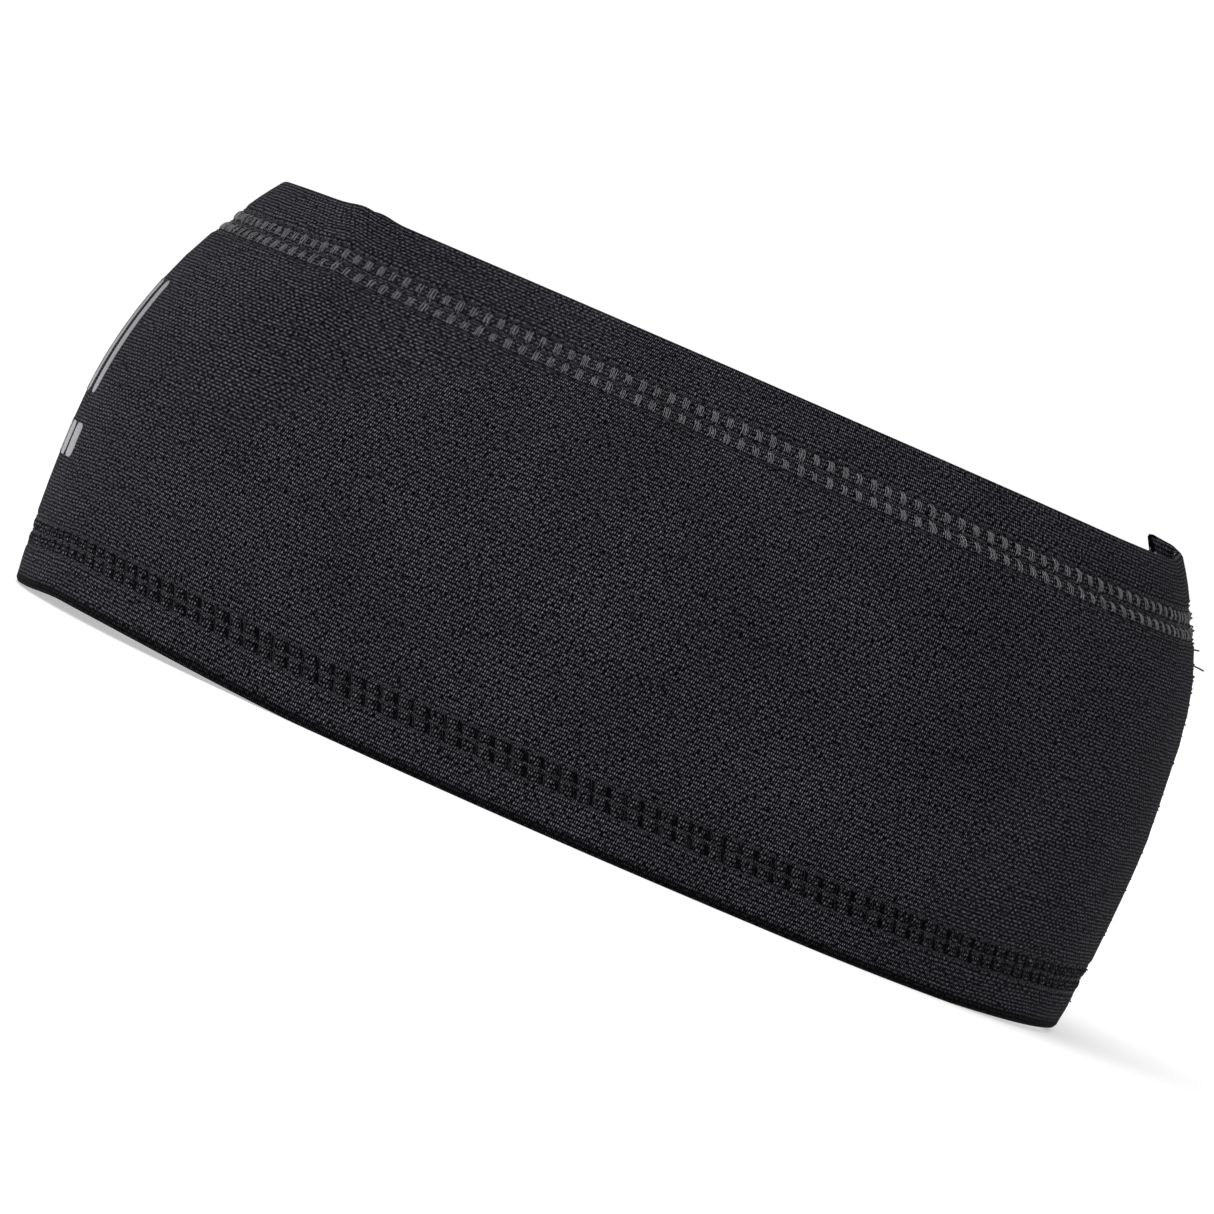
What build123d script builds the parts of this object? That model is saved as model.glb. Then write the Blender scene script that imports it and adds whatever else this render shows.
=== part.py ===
"""Sports headband: a ring of stretch knit with a coverstitched hem at each edge and one overlocked seam.

The band stands on its lower hem. +Z runs up the ring, the forehead faces -X, the seam is at +X and the
wearer's left side faces -Y. The origin is the middle of the ring on the plane that it stands on.
All sizes are in millimetres.
"""

from build123d import *

import os
from math import asin, atan2, cos, degrees, radians, sin

# Outer sizes as worn.
band_length = 205.0  # forehead to nape, at the widest level
band_width = 152.0  # side to side, at the widest level
band_height = 85.0  # lower fold to upper fold

# Plan of the ring, seen from above.
side_radius = 173.1  # curve of the two long sides
widest_offset = 8.7  # the widest place sits this far behind the middle

# Upright profile of the wall.
widest_height = 33.0  # level where the ring is widest
upper_profile_radius = 87.0  # the wall above leans in over the skull
lower_profile_radius = 300.0  # the wall below leans in a little

# Cloth and hems.
cloth_thickness = 0.8
hem_margin = 1.5  # last needle row to the hem's raw edge, on the inside
hem_gap = 0.3  # air between the wall and its turned hem
pressed_depth = 0.12  # how far the lower fold is pressed flat where it rests

# Coverstitch of the hems: needle rows and cover thread outside, looper thread inside.
needle_rows = 3
upper_needle_gauge = 3.0  # between neighbouring needle rows of the upper hem
lower_needle_gauge = 2.5  # and of the lower hem, which is stretched more and so narrower
upper_stitch_depth = 12.3  # upper fold to the middle needle row
lower_stitch_depth = 10.0  # lower fold to the middle needle row
thread_width = 0.35
thread_height = 0.25
cover_height = 0.15  # thickness of the cover and looper threads as laid
thread_clearance = 0.1  # between the cover thread and the needle rows beside it

# Overlocked seam at the nape, its allowance turned to the wearer's left.
seam_allowance = 6.5
allowance_clearance = 0.6  # between the hems' inner face and the allowance
seam_needle_inset = 1.3  # seam line to the first needle row
seam_needle_gauge = 2.2  # first needle row to the second
seam_end_margin = 1.0  # the seam threads stop short of the folds in the solids

# Reflective print on the forehead: a row of upright bars over a row of short blocks.
film_thickness = 0.12
bar_count = 6
bar_width = 3.0
bar_height = 24.0
bar_pitch = 6.6
bar_level = 49.0  # height of the bars' middle
block_count = 7
block_width = 4.4
block_height = 6.5
block_pitch = 6.1
block_level = 28.0  # height of the blocks' middle

# Care label, folded double and held in the seam on the wearer's right.
label_width = 15.0
label_height = 30.0
label_thickness = 0.4  # both layers
label_gap = 0.3  # between the wall and the label
label_level = 42.0  # height of the label's middle

# The plan is four arcs that run into each other: forehead, two sides and nape.
side_centre_y = side_radius - band_width / 2
end_reach = side_radius**2 - side_centre_y**2
front_run = band_length / 2 + widest_offset
back_run = band_length / 2 - widest_offset
front_radius = (end_reach - front_run**2) / (2 * (side_radius - front_run))
back_radius = (end_reach - back_run**2) / (2 * (side_radius - back_run))
front_centre = Vector(front_radius - band_length / 2, 0)
back_centre = Vector(band_length / 2 - back_radius, 0)
left_centre = Vector(widest_offset, side_centre_y)
right_centre = Vector(widest_offset, -side_centre_y)
front_join = degrees(atan2(side_centre_y, front_centre.X - widest_offset))
back_join = degrees(atan2(side_centre_y, back_centre.X - widest_offset))

# The hem's fold is a half turn about a line in the middle of the two layers.
hem_thickness = 2 * cloth_thickness + hem_gap
fold_radius = hem_thickness / 2
upper_rise = band_height - widest_height - fold_radius
lower_drop = widest_height + pressed_depth - fold_radius
upper_end = upper_profile_radius * asin(upper_rise / (upper_profile_radius - fold_radius))
lower_end = -lower_profile_radius * asin(lower_drop / (lower_profile_radius - fold_radius))
upper_stitch = upper_end + fold_radius - upper_stitch_depth
lower_stitch = lower_end - fold_radius + lower_stitch_depth
outer_row = (needle_rows - 1) / 2
upper_hem_end = upper_stitch - outer_row * upper_needle_gauge - hem_margin
lower_hem_end = lower_stitch + outer_row * lower_needle_gauge + hem_margin

# Depths inside the outer face.
allowance_outer = hem_thickness + allowance_clearance
allowance_inner = allowance_outer + 2 * cloth_thickness
root_width = 2 * cloth_thickness


def wall_point(run, depth):
    """The point at a run up the outer face from the widest level, and a depth inside that face."""
    radius = upper_profile_radius if run > 0 else lower_profile_radius
    outward = (radius - depth) * cos(run / radius) - radius
    height = widest_height + (radius - depth) * sin(run / radius)
    return Vector(outward, height)


def wall_direction(run):
    """The upward direction along the wall at a run."""
    radius = upper_profile_radius if run > 0 else lower_profile_radius
    return Vector(-sin(run / radius), cos(run / radius))


def run_at(height):
    """The run along the outer face to a height."""
    rise = height - widest_height
    radius = upper_profile_radius if rise > 0 else lower_profile_radius
    return radius * asin(rise / radius)


def parallel_line(start, end, depth):
    """Draws the line along the wall at one depth, as one arc, or two where it passes the widest level."""
    stops = [start, 0, end] if start * end < 0 else [start, end]
    for first, last in zip(stops, stops[1:]):
        middle = wall_point((first + last) / 2, depth)
        ThreePointArc(wall_point(first, depth), middle, wall_point(last, depth))


def strip_section(low, high, outer, inner, mode=Mode.ADD):
    """Draws the section of a layer between two runs and two depths."""
    with BuildLine() as outline:
        parallel_line(low, high, outer)
        Line(wall_point(high, outer), wall_point(high, inner))
        parallel_line(high, low, inner)
        Line(wall_point(low, inner), wall_point(low, outer))
    make_face(outline.edges(), mode=mode)


def fold_section(end, way, radius, mode=Mode.ADD):
    """Draws a half disc about the middle of a fold: way is 1 at the upper edge, -1 at the lower."""
    crown = wall_point(end, fold_radius) + wall_direction(end) * way * radius
    outer = wall_point(end, fold_radius - radius)
    inner = wall_point(end, fold_radius + radius)
    with BuildLine() as outline:
        ThreePointArc(outer, crown, inner)
        Line(inner, outer)
    make_face(outline.edges(), mode=mode)


def press_flat():
    """Cuts the lower fold off level where it rests."""
    with Locations((wall_point(lower_end, fold_radius).X, 0)):
        Rectangle(
            2 * hem_thickness, hem_thickness, align=(Align.CENTER, Align.MAX), mode=Mode.SUBTRACT
        )


def band_section():
    """Draws the knit band's section: the wall, the two turned hems and their folds."""
    hem_outer = cloth_thickness + hem_gap
    strip_section(lower_end, upper_end, 0, cloth_thickness)
    strip_section(upper_hem_end, upper_end, hem_outer, hem_thickness)
    strip_section(lower_end, lower_hem_end, hem_outer, hem_thickness)
    for end, way in ((upper_end, 1), (lower_end, -1)):
        fold_section(end, way, fold_radius)
        fold_section(end, way, hem_gap / 2, Mode.SUBTRACT)
    press_flat()


def root_section():
    """Draws the section where the two ends of the cloth turn in from the wall at the seam."""
    strip_section(lower_end, upper_end, 0, allowance_inner)
    fold_section(upper_end, 1, fold_radius)
    fold_section(lower_end, -1, fold_radius)
    press_flat()


def turn(centre, radius, start, end, draw_section):
    """Turns a section about a plan arc's centre, between two angles in degrees."""
    outward = Vector(cos(radians(start)), sin(radians(start)))
    upright = Plane(
        origin=centre + outward * radius, x_dir=outward, z_dir=outward.cross(Vector(0, 0, 1))
    )
    with BuildSketch(upright) as section:
        draw_section()
    revolve(section.sketch, axis=Axis(centre, (0, 0, 1)), revolution_arc=end - start)


def ring(draw_section, first=0.0, last=0.0):
    """Turns a section once round the plan from the seam: first and last are gaps beside the seam line."""
    first_angle = degrees(first / back_radius)
    last_angle = degrees(last / back_radius)
    turn(back_centre, back_radius, first_angle, back_join, draw_section)
    turn(right_centre, side_radius, back_join, front_join, draw_section)
    turn(front_centre, front_radius, front_join, 360 - front_join, draw_section)
    turn(left_centre, side_radius, -front_join, -back_join, draw_section)
    turn(back_centre, back_radius, -back_join, -last_angle, draw_section)


def patch(centre, radius, middle, start, end, draw_section):
    """Turns a section between two distances along the outer face from the angle middle."""
    start_angle = middle + degrees(start / radius)
    end_angle = middle + degrees(end / radius)
    turn(centre, radius, start_angle, end_angle, draw_section)


def nape_patch(start, end, draw_section):
    """A patch beside the seam: negative distances lie on the wearer's left."""
    patch(back_centre, back_radius, 0, start, end, draw_section)


def row_runs(stitch, gauge):
    """The runs of a hem's needle rows, from the lowest to the highest."""
    return [stitch + (row - outer_row) * gauge for row in range(needle_rows)]


def needle_section(run):
    """Draws one needle thread's section on the outer face."""
    strip_section(run - thread_width / 2, run + thread_width / 2, -thread_height, 0)


def cover_section(rows):
    """Draws the cover thread's strips, one between each two neighbouring needle rows."""
    inset = thread_width / 2 + thread_clearance
    for low, high in zip(rows, rows[1:]):
        strip_section(low + inset, high - inset, -cover_height, 0)


def looper_section(rows):
    """Draws the looper thread's strip across the needle rows, on the hem's inner face."""
    low = rows[0] - thread_width / 2
    high = rows[-1] + thread_width / 2
    strip_section(low, high, hem_thickness, hem_thickness + cover_height)


def allowance_section():
    """Draws the seam allowance's section: two layers of cloth inside the hems."""
    strip_section(lower_end, upper_end, allowance_outer, allowance_inner)


def seam_thread_section(outer, inner):
    """Draws a seam thread's section, over the height of the seam."""
    strip_section(lower_end + seam_end_margin, upper_end - seam_end_margin, outer, inner)


def save(part, name):
    """Labels a finished piece and writes it to its own file."""
    part.label = name
    export_step(part, f"parts/{name}.step")
    print(f"{name}: {len(part.solids())} solids, {part.volume:.1f} mm3")


os.makedirs("parts", exist_ok=True)
print(f"plan radii: forehead {front_radius:.2f}, nape {back_radius:.2f}, sides {side_radius:.2f}")

# Knit band: one strip of cloth, hemmed at both edges and closed by the seam.
with BuildPart() as knit_band:
    ring(band_section)
    nape_patch(-root_width, 0, root_section)
    nape_patch(-seam_allowance, -root_width, allowance_section)
save(knit_band.part, "knit_band")

# Threads of the two hems.
hems = {
    "upper": row_runs(upper_stitch, upper_needle_gauge),
    "lower": row_runs(lower_stitch, lower_needle_gauge),
}
for hem_name, stitch_rows in hems.items():
    for row_number, row_run in enumerate(stitch_rows, 1):
        with BuildPart() as needle_thread:
            ring(lambda: needle_section(row_run))
        save(needle_thread.part, f"{hem_name}_hem_needle_thread_{row_number}")

    with BuildPart() as cover_thread:
        ring(lambda: cover_section(stitch_rows))
    save(cover_thread.part, f"{hem_name}_hem_cover_thread")

    with BuildPart() as looper_thread:
        ring(
            lambda: looper_section(stitch_rows),
            first=thread_clearance,
            last=root_width + thread_clearance,
        )
    save(looper_thread.part, f"{hem_name}_hem_looper_thread")

# Threads of the overlocked seam, on the allowance.
for row_number in range(1, 3):
    row_start = seam_needle_inset + (row_number - 1) * seam_needle_gauge
    with BuildPart() as seam_needle_thread:
        nape_patch(
            -row_start - thread_width,
            -row_start,
            lambda: seam_thread_section(allowance_inner, allowance_inner + thread_height),
        )
    save(seam_needle_thread.part, f"seam_needle_thread_{row_number}")

looper_start = seam_needle_inset + seam_needle_gauge + thread_width + thread_clearance
with BuildPart() as seam_inner_looper_thread:
    nape_patch(
        -seam_allowance,
        -looper_start,
        lambda: seam_thread_section(allowance_inner, allowance_inner + cover_height),
    )
save(seam_inner_looper_thread.part, "seam_inner_looper_thread")

with BuildPart() as seam_outer_looper_thread:
    nape_patch(
        -seam_allowance,
        -looper_start,
        lambda: seam_thread_section(allowance_outer - cover_height, allowance_outer),
    )
save(seam_outer_looper_thread.part, "seam_outer_looper_thread")


def print_row(count, width, pitch, height, level):
    """Lays a row of film patches across the forehead, each a separate solid."""
    low = run_at(level) - height / 2
    high = run_at(level) + height / 2
    for number in range(count):
        middle = (number - (count - 1) / 2) * pitch
        patch(
            front_centre,
            front_radius,
            180,
            middle - width / 2,
            middle + width / 2,
            lambda: strip_section(low, high, -film_thickness, 0),
        )


with BuildPart() as reflective_bars:
    print_row(bar_count, bar_width, bar_pitch, bar_height, bar_level)
save(reflective_bars.part, "reflective_bars")

with BuildPart() as reflective_blocks:
    print_row(block_count, block_width, block_pitch, block_height, block_level)
save(reflective_blocks.part, "reflective_blocks")

# Care label: it hangs from the seam on the wearer's right, against the wall.
label_outer = cloth_thickness + label_gap
with BuildPart() as care_label:
    nape_patch(
        0,
        label_width,
        lambda: strip_section(
            run_at(label_level) - label_height / 2,
            run_at(label_level) + label_height / 2,
            label_outer,
            label_outer + label_thickness,
        ),
    )
save(care_label.part, "care_label")
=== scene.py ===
# %% [markdown]
# # A stretch-knit sports headband
# The real object is one strip of black knit, hemmed along both edges with a three-needle coverstitch
# and closed at the nape with an overlocked seam. This lesson cuts the same strip flat, then folds and
# wraps it with one small set of formulas, and lays every thread, print and label through the same
# formulas. So they can't drift off the cloth, and a change of its shape moves them with it.
# Lengths are in millimetres in the formulas and become metres only where a mesh is written.

# %% Load the fixed frame
import math

import bmesh
import bpy
import numpy as np
from mathutils import Matrix, Vector


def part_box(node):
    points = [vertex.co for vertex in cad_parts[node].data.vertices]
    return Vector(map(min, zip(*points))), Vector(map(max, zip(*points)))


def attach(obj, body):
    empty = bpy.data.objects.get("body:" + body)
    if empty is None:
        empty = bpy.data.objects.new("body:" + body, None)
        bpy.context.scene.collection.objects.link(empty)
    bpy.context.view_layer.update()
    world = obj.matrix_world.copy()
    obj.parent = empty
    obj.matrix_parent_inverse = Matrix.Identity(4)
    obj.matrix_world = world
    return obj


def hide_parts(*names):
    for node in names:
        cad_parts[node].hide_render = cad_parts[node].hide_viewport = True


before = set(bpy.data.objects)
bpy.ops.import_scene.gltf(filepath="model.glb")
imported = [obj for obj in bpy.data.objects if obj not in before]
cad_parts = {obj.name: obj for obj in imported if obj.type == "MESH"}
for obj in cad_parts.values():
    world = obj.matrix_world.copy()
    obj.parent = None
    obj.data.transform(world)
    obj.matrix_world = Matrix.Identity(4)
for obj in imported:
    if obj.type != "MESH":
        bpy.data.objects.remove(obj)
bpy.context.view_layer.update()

MM = 0.001
low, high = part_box("knit_band")
LENGTH, WIDTH, HEIGHT = (round((high[i] - low[i]) / MM) for i in range(3))
print("band", LENGTH, "x", WIDTH, "x", HEIGHT, "mm")

# %% [markdown]
# ## The shape of the worn band
# Worn on a head, the band is an egg in plan and leans in above its widest level. Both could be drawn
# as splines, but arcs that run into each other keep every parallel layer exactly parallel: a hem, a
# thread or a print is then the same formula at another depth. The numbers are those of the CAD part.

# %% Plan and profile sizes
SIDE_RADIUS = 173.1  # curve of the long sides in plan
WIDEST_OFFSET = 8.7  # the widest place is this far behind the middle
WIDEST_HEIGHT = 33.0  # level where the ring is widest
UPPER_RADIUS = 87.0  # upright curve of the wall above that level
LOWER_RADIUS = 300.0  # and below it
CLOTH = 0.8  # thickness of the knit
HEM_GAP = 0.3  # air between the wall and its turned hem
HEMS = ("upper", "lower")
GAUGE = {"upper": 3.0, "lower": 2.5}  # between needle rows
STITCH_DEPTH = {"upper": 12.3, "lower": 10.0}  # fold to the middle needle row
HEM_MARGIN = 1.5  # last needle row to the raw edge
PRESSED = 0.12  # how far the lower fold is pressed flat
SEAM_ALLOWANCE = 6.5  # cloth past the seam line at each end of the strip

HALF = CLOTH / 2
FOLD = CLOTH + HEM_GAP / 2  # outer radius of a fold
TURN = FOLD - HALF  # radius of the cloth's middle in a fold
UPPER_END = UPPER_RADIUS * math.asin((HEIGHT - WIDEST_HEIGHT - FOLD) / (UPPER_RADIUS - FOLD))
LOWER_END = -LOWER_RADIUS * math.asin((WIDEST_HEIGHT + PRESSED - FOLD) / (LOWER_RADIUS - FOLD))
FOLD_RUN = math.pi * TURN  # length of cloth in a fold
HEM_RUN = {hem: STITCH_DEPTH[hem] + GAUGE[hem] + HEM_MARGIN - FOLD for hem in HEMS}
print(f"wall from {LOWER_END:.1f} to {UPPER_END:.1f} mm along its face")

# %% The arcs of the plan, from the seam round by the wearer's right
side_y = SIDE_RADIUS - WIDTH / 2
end_reach = SIDE_RADIUS**2 - side_y**2
front_run = LENGTH / 2 + WIDEST_OFFSET
back_run = LENGTH / 2 - WIDEST_OFFSET
front_radius = (end_reach - front_run**2) / (2 * (SIDE_RADIUS - front_run))
back_radius = (end_reach - back_run**2) / (2 * (SIDE_RADIUS - back_run))
front_x = front_radius - LENGTH / 2
back_x = LENGTH / 2 - back_radius
front_join = math.atan2(side_y, front_x - WIDEST_OFFSET)
back_join = math.atan2(side_y, back_x - WIDEST_OFFSET)
PLAN = (
    (back_x, 0, back_radius, 0, back_join),
    (WIDEST_OFFSET, -side_y, SIDE_RADIUS, back_join, front_join),
    (front_x, 0, front_radius, front_join, 2 * math.pi - front_join),
    (WIDEST_OFFSET, side_y, SIDE_RADIUS, -front_join, -back_join),
    (back_x, 0, back_radius, -back_join, 0),
)
PLAN_LENGTH = sum(radius * (end - start) for _, _, radius, start, end in PLAN)
print(f"round the widest level: {PLAN_LENGTH:.0f} mm")

# %% [markdown]
# ## From the flat strip to the worn ring
# A place on the cloth is given as on the cutting table: around, from the seam, and across, from the
# widest level. The knit is under even tension round each level, so a stitch keeps its share of the
# round, whatever the level. Past the end of the wall, across runs round the fold and back down the
# hem. Lift is the height above the cloth's middle, on its outer side.

# %% Stitch count and flat size
STITCHES = 184  # of each hem, all the way round
STITCH = 2.74  # length of one stitch on the flat strip
FLAT_ROUND = STITCHES * STITCH
FLAT_LOW = LOWER_END - FOLD_RUN - HEM_RUN["lower"]
FLAT_HIGH = UPPER_END + FOLD_RUN + HEM_RUN["upper"]
STITCH_RUN = {
    "upper": UPPER_END + FOLD - STITCH_DEPTH["upper"],
    "lower": LOWER_END - FOLD + STITCH_DEPTH["lower"],
}
print(f"flat strip {FLAT_ROUND + 2 * SEAM_ALLOWANCE:.0f} x {FLAT_HIGH - FLAT_LOW:.0f} mm")


# %% Helpers: smooth steps and waves
def smooth(start, end, value):
    """0 before start, 1 after end, and an even S between them."""
    share = np.clip((value - start) / (end - start), 0, 1)
    return share * share * (3 - 2 * share)


def hill(value, width):
    """A soft hill, 1 at 0 and nearly 0 beyond a few widths."""
    return np.exp(-((value / width) ** 2))


# %% Where a share of the round and a depth lie in plan
def plan_point(share, offset):
    """The plan point at a share of the round (0 to 1) at a level that is offset out from the plan."""
    distance = share * (PLAN_LENGTH + 2 * math.pi * offset)
    passed = 0
    x = np.zeros_like(distance)
    y = np.zeros_like(distance)
    for number, (centre_x, centre_y, radius, start, end) in enumerate(PLAN):
        run = (radius + offset) * (end - start)
        last = number == len(PLAN) - 1
        here = (distance >= passed if number else True) & ((distance < passed + run) | last)
        angle = start + (distance - passed) / (radius + offset)
        x = np.where(here, centre_x + (radius + offset) * np.cos(angle), x)
        y = np.where(here, centre_y + (radius + offset) * np.sin(angle), y)
        passed = passed + run
    return x, y


# %% How the worn cloth settles
FRONT_DIP = 1.5  # the upper edge dips at the forehead
FRONT_LIFT = 1.7  # and the lower edge lifts on both sides of the forehead's middle
BACK_RISE = 0.9  # the ring rises a little towards the seam
SEAM_PULL, SEAM_PULL_WIDTH = 1.7, 9.0  # and the seam pulls its upper edge up to a corner
SIDE_RISE, SIDE_AWAY = 0.5, 60.0  # the upper edge stands higher along the sides, this far out
BACK_FULLNESS = 2.6  # the upper hem stands out at the seam, where it is thick
STITCH_FULLNESS, FULL_HEIGHT, FULL_WIDTH = 0.8, 66.0, 11.0  # most of all beside its stitches
RIPPLE_X, RIPPLE_WIDTH, RIPPLE = -68.5, 2.8, 0.6  # a small wave of the upper edge by the temple
LONG_SWELL, SHORT_SWELL = 0.25, 0.2  # the wall swells in and out by this much, in two waves

# Where along the band, forehead (-) to seam (+), each of them grows to its full size, or fades
DIP_GROWS = (-66, -104)
LIFT_GROWS, LIFT_FADES = (-35, -88), (-90, -103)
RISE_GROWS = (72, 104)
FULLNESS_GROWS = (35, 95)
FULLNESS_LEVELS = (40, 80)  # and up the wall


def settle(x, y, z):
    """Lets the ring's levels dip, rise and ripple a little, as cloth does."""
    share = z / HEIGHT
    z = z - FRONT_DIP * smooth(*DIP_GROWS, x) * share
    lifted = smooth(*LIFT_GROWS, x) * (1 - smooth(*LIFT_FADES, x))
    z = z + FRONT_LIFT * lifted * (1 - share)
    z = z + BACK_RISE * smooth(*RISE_GROWS, x) + SIDE_RISE * share * (y / SIDE_AWAY) ** 2
    z = z + SEAM_PULL * share**6 * hill(y, SEAM_PULL_WIDTH) * (x > 0)
    z = z + RIPPLE * share**3 * hill(x - RIPPLE_X, RIPPLE_WIDTH)
    beside_stitches = hill(z - FULL_HEIGHT, FULL_WIDTH)
    fullness = BACK_FULLNESS * smooth(*FULLNESS_LEVELS, z) + STITCH_FULLNESS * beside_stitches
    x = x + fullness * smooth(*FULLNESS_GROWS, x)
    swell = LONG_SWELL * np.sin(x / 17 + 1.0) * np.sin(z / 21 + 0.6)
    swell = swell + SHORT_SWELL * np.sin(x / 9 + y / 13)
    reach = np.hypot(x, y)
    return x * (1 + swell / reach), y * (1 + swell / reach), np.maximum(z, HALF)


# %% The wall's upright profile
def profile(run, depth):
    """How far out from the plan, and how high, a place on the wall is."""
    radius = np.where(run > 0, UPPER_RADIUS, LOWER_RADIUS)
    angle = run / radius
    reach = radius - depth
    return reach * np.cos(angle) - radius, WIDEST_HEIGHT + reach * np.sin(angle)


def ring_point(around, run, depth, crown=0.0):
    """A place on the ring, in metres: crown is the height past the end of the wall, in a fold."""
    offset, height = profile(run, depth)
    radius = np.where(run > 0, UPPER_RADIUS, LOWER_RADIUS)
    offset = offset - crown * np.sin(run / radius)
    height = height + crown * np.cos(run / radius)
    x, y = plan_point(around / FLAT_ROUND, offset)
    x, y, height = settle(x, y, height)
    return np.stack([x, y, height], axis=-1) * MM


# %% [markdown]
# ## The seam at the nape
# Both ends of the hemmed strip turn inwards, right sides together, and the overlock binds them. In
# the lower part the allowance lies against the wall, on the wearer's left. Towards the upper edge it
# stands away from the wall as a leaning fin, and its corner shows above the edge. Each layer follows
# a few straight runs seen from above, rounded by cutting their corners.

# %% Rounded paths of the strip's ends, seen from above
LEAD = 4.0  # the paths start this far before the seam line
REACH = LEAD + SEAM_ALLOWANCE
HEM_LAYER = HALF + CLOTH + HEM_GAP  # depth of the hem's layer before it turns
SIDE = 0.45  # half of the two layers at the seam line
HEM_AWAY = 1.1  # the hem's layer turns this far before the wall's layer does


def rounded(points, rounds=3):
    """Cuts the corners of a run of points, and returns its distances and both coordinates."""
    path = np.array(points, float)
    for _ in range(rounds):
        near = path[:-1] * 0.75 + path[1:] * 0.25
        far = path[:-1] * 0.25 + path[1:] * 0.75
        middle = np.stack([near, far], axis=1).reshape(-1, 2)
        path = np.concatenate([path[:1], middle, path[-1:]])
    steps = np.hypot(*np.diff(path, axis=0).T)
    return np.concatenate([[0], np.cumsum(steps)]), path[:, 0], path[:, 1]


def end_paths(way, laid, laid_hem, laid_inner, fin, fin_inner):
    """Paths of (sideways from the seam, depth) for the strip's left (-1) or right (1) end.

    The wall's layer lies at the depth laid, or laid_hem where the hem is under it, and the hem's own
    layer at laid_inner. The fin's two layers end at the last two places.
    """
    wall, hem = (way * LEAD, HALF), (way * LEAD, HEM_LAYER)
    side, hem_side = way * SIDE, way * (SIDE + HEM_AWAY)
    hem_turn = (hem_side, HEM_LAYER)
    return {
        "laid": rounded([wall, (side, HALF), (side, laid), (-REACH, laid)]),
        "laid_hem": rounded([wall, (side, HALF), (side, laid_hem), (-REACH, laid_hem)]),
        "laid_inner": rounded([hem, hem_turn, (hem_side, laid_inner), (-REACH, laid_inner)]),
        "fin": rounded([wall, (side, HALF), fin]),
        "fin_inner": rounded([hem, hem_turn, fin_inner]),
    }


LEFT_PATHS = end_paths(
    -1, laid=1.6, laid_hem=3.6, laid_inner=2.6, fin=(-7.4, 6.5), fin_inner=(-8.8, 6.2)
)
RIGHT_PATHS = end_paths(
    1, laid=2.5, laid_hem=4.5, laid_inner=5.6, fin=(-6.1, 6.9), fin_inner=(-4.7, 7.3)
)


# %% The turned ends follow those paths
FIN_START = UPPER_END - 8.0  # the allowance starts to stand up here
FIN_TILT = 0.22  # how far the fin rises inwards, in radians
OFF_HEM = (LOWER_END + 13, LOWER_END + 18)  # the allowance steps off the lower hem between these
SHORT = 0.2  # a short step along a path


def seam_end(paths, walked, run, inner):
    """Sideways and depth of an end of the strip, walked past LEAD before the seam line."""
    hem_zone = 1 - smooth(*OFF_HEM, run)
    fin_zone = np.clip((run - FIN_START) / (UPPER_END - FIN_START), 0, 1)
    shares = (
        ("laid", (1 - hem_zone) * (1 - fin_zone) * (1 - inner)),
        ("laid_hem", hem_zone * (1 - inner)),
        ("laid_inner", (1 - fin_zone) * inner),
        ("fin", fin_zone * (1 - inner)),
        ("fin_inner", fin_zone * inner),
    )
    sideways = sum(np.interp(walked, paths[n][0], paths[n][1]) * share for n, share in shares)
    depth = sum(np.interp(walked, paths[n][0], paths[n][2]) * share for n, share in shares)
    return sideways, depth, fin_zone


# %% The run on the wall that a place on the strip lies over
def fold_back(across):
    """The run, the angle round the fold, and which fold (1 for the upper one, -1 for the lower)."""
    way = np.where(across > 0, 1.0, -1.0)
    end = np.where(across > 0, UPPER_END, LOWER_END)
    past = np.maximum((across - end) * way, 0)
    turn = np.clip(past / TURN, 0, math.pi)
    run = np.where(past > 0, end - way * np.maximum(past - FOLD_RUN, 0), across)
    return run, turn, way


# %% One formula for every place on the strip
def band_point(around, across, lift=0.0):
    """The place of the cloth in the worn ring, in metres."""
    run, turn, way = fold_back(across)
    inner = (1 - np.cos(turn)) / 2
    crown = way * (TURN + lift) * np.sin(turn)
    outward = lift * np.cos(turn)
    depth = HALF + inner * 2 * TURN - outward
    sideways = around
    for paths, walked, seam, way_in in (
        (LEFT_PATHS, around - FLAT_ROUND + LEAD, FLAT_ROUND, 1.0),
        (RIGHT_PATHS, LEAD - around, 0.0, -1.0),
    ):
        side, level, fin = seam_end(paths, walked, run, inner)
        next_side, next_level, _ = seam_end(paths, walked + SHORT, run, inner)
        side_step, level_step = next_side - side, next_level - level
        length = np.maximum(np.hypot(side_step, level_step), SHORT / 4)
        side = side + way_in * outward * level_step / length
        level = level - way_in * outward * side_step / length
        near = walked > 0
        sideways = np.where(near, seam + side, sideways)
        depth = np.where(near, level, depth)
        stood = np.where(near, fin, 0) * np.maximum(level - HALF, 0)
        tilt = run / UPPER_RADIUS + FIN_TILT
        depth = depth - stood * (1 - np.cos(tilt))
        crown = crown + stood * np.sin(tilt)
    return ring_point(np.mod(sideways, FLAT_ROUND), run, depth, crown)


# %% [markdown]
# ## The knit strip
# The cloth could be modelled as a closed ring, but a strip is what is sewn: it keeps the cloth's own
# coordinates for the knit pattern, and the hems and the seam come from folding it. A grid of faces is
# made flat, four columns to each stitch, with its rows closer together where stitches pull the cloth.

# %% A flat grid and its two shares
def flat_grid(columns, rows):
    """A flat grid as a mesh, with each vertex's share along and across it."""
    grid = bmesh.new()
    bmesh.ops.create_grid(grid, x_segments=columns, y_segments=rows, size=0.5)
    mesh = bpy.data.meshes.new("flat grid")
    grid.to_mesh(mesh)
    grid.free()
    places = np.empty(len(mesh.vertices) * 3)
    mesh.vertices.foreach_get("co", places)
    places = places.reshape(-1, 3) + 0.5
    return mesh, places[:, 0], places[:, 1]


# %% Write a shaped mesh as a finished piece
UV_NAME = "cloth_mm"


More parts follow.
